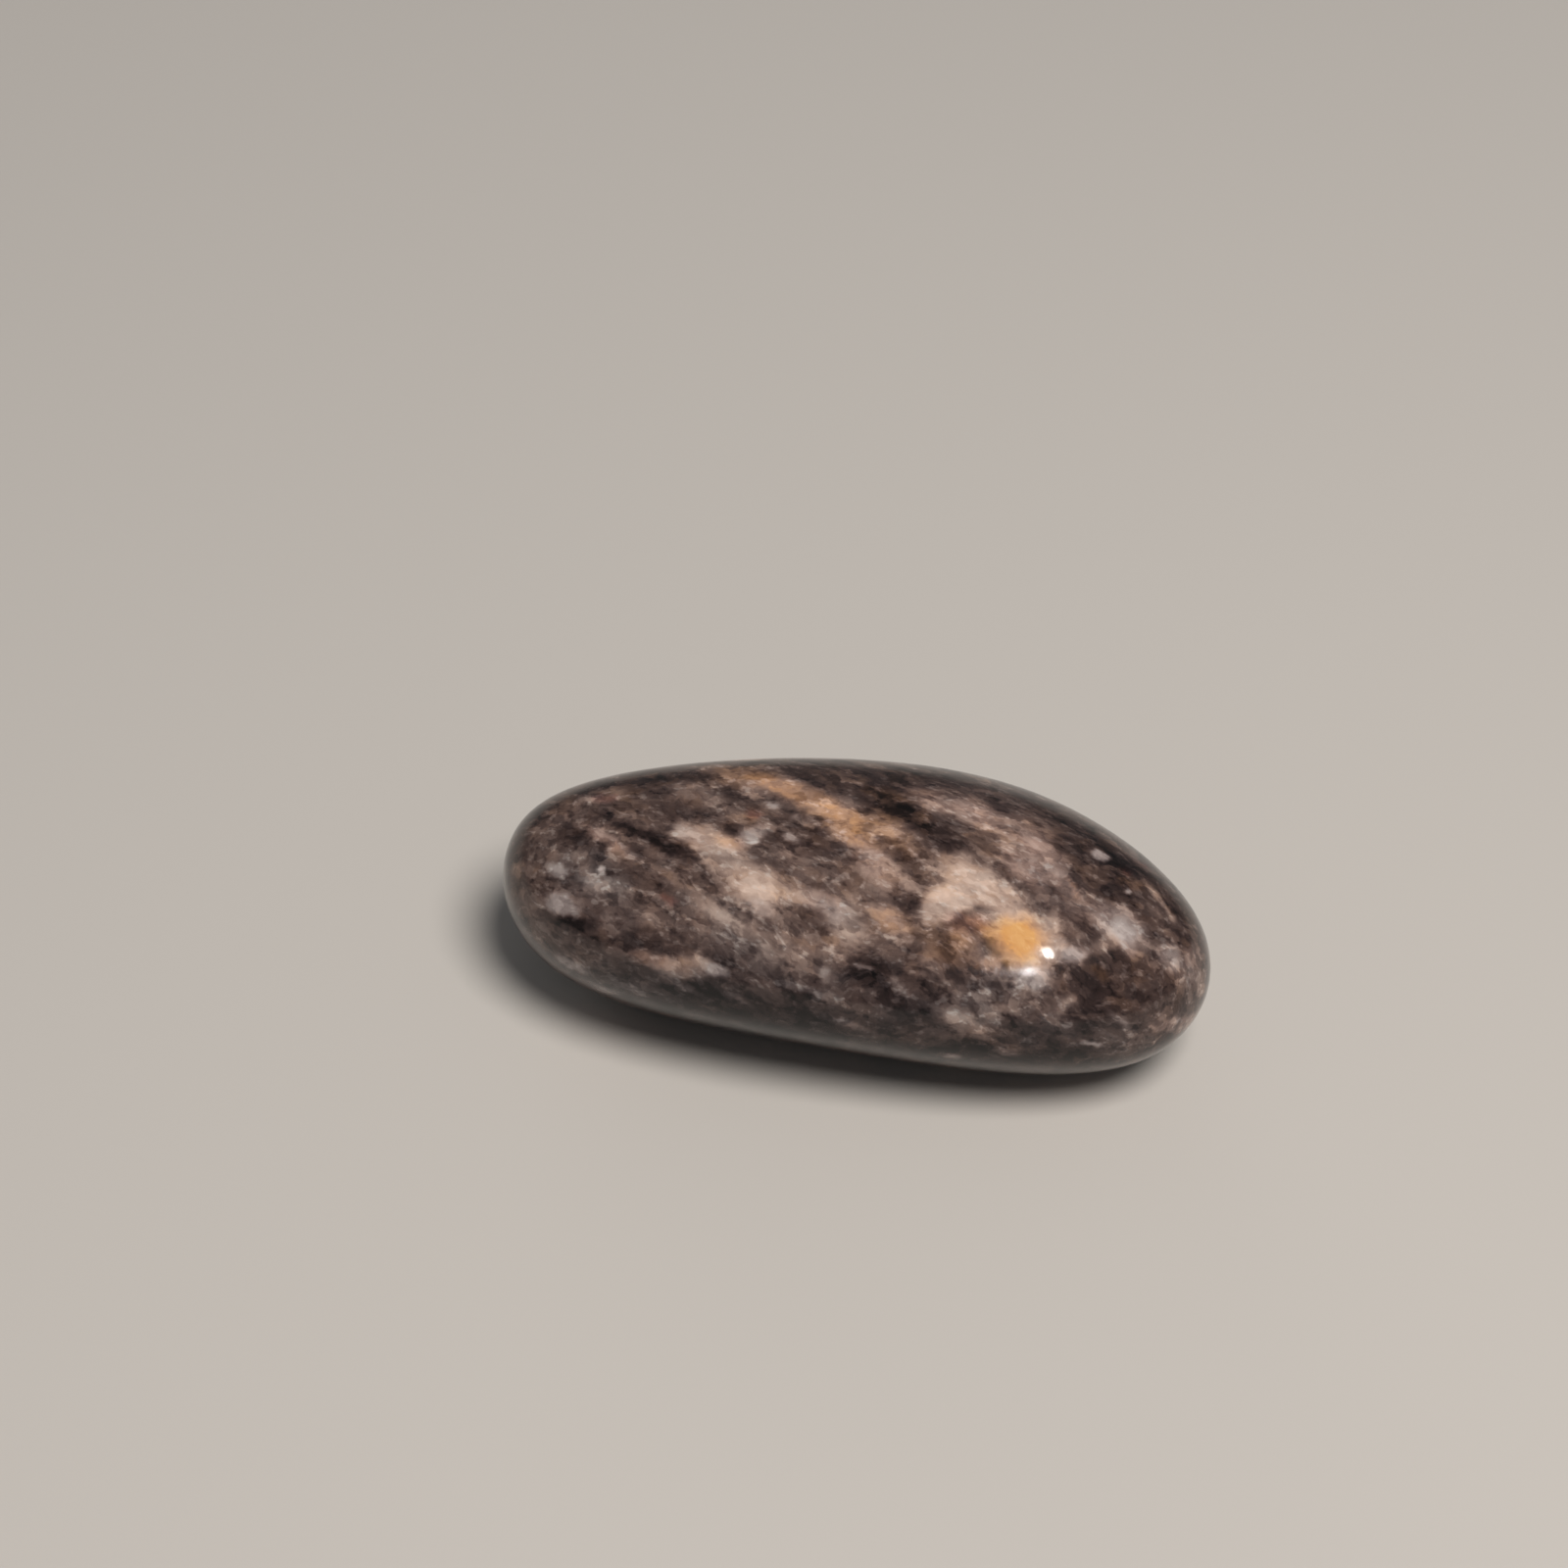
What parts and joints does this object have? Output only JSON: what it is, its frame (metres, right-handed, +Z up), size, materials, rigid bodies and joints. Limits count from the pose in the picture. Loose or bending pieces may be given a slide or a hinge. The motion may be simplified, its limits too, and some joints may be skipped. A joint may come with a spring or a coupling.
{
  "type": "polished granite stone",
  "caption": "Oval tumbled granite pebble with a polished, banded surface of dark mica, cream and tan feldspar and an amber spot, lying on a small worn flat; a loose ornament.",
  "frame": {"origin": "under the middle of the stone's box, on the surface that it lies on", "axes": "+X along the stone's length, +Y from its front to its back, +Z up"},
  "size_m": [0.032, 0.0154, 0.0114],
  "materials": {
    "granite": "polished"
  },
  "bodies": {
    "root": {"stone": "granite"}
  },
  "joints": []
}
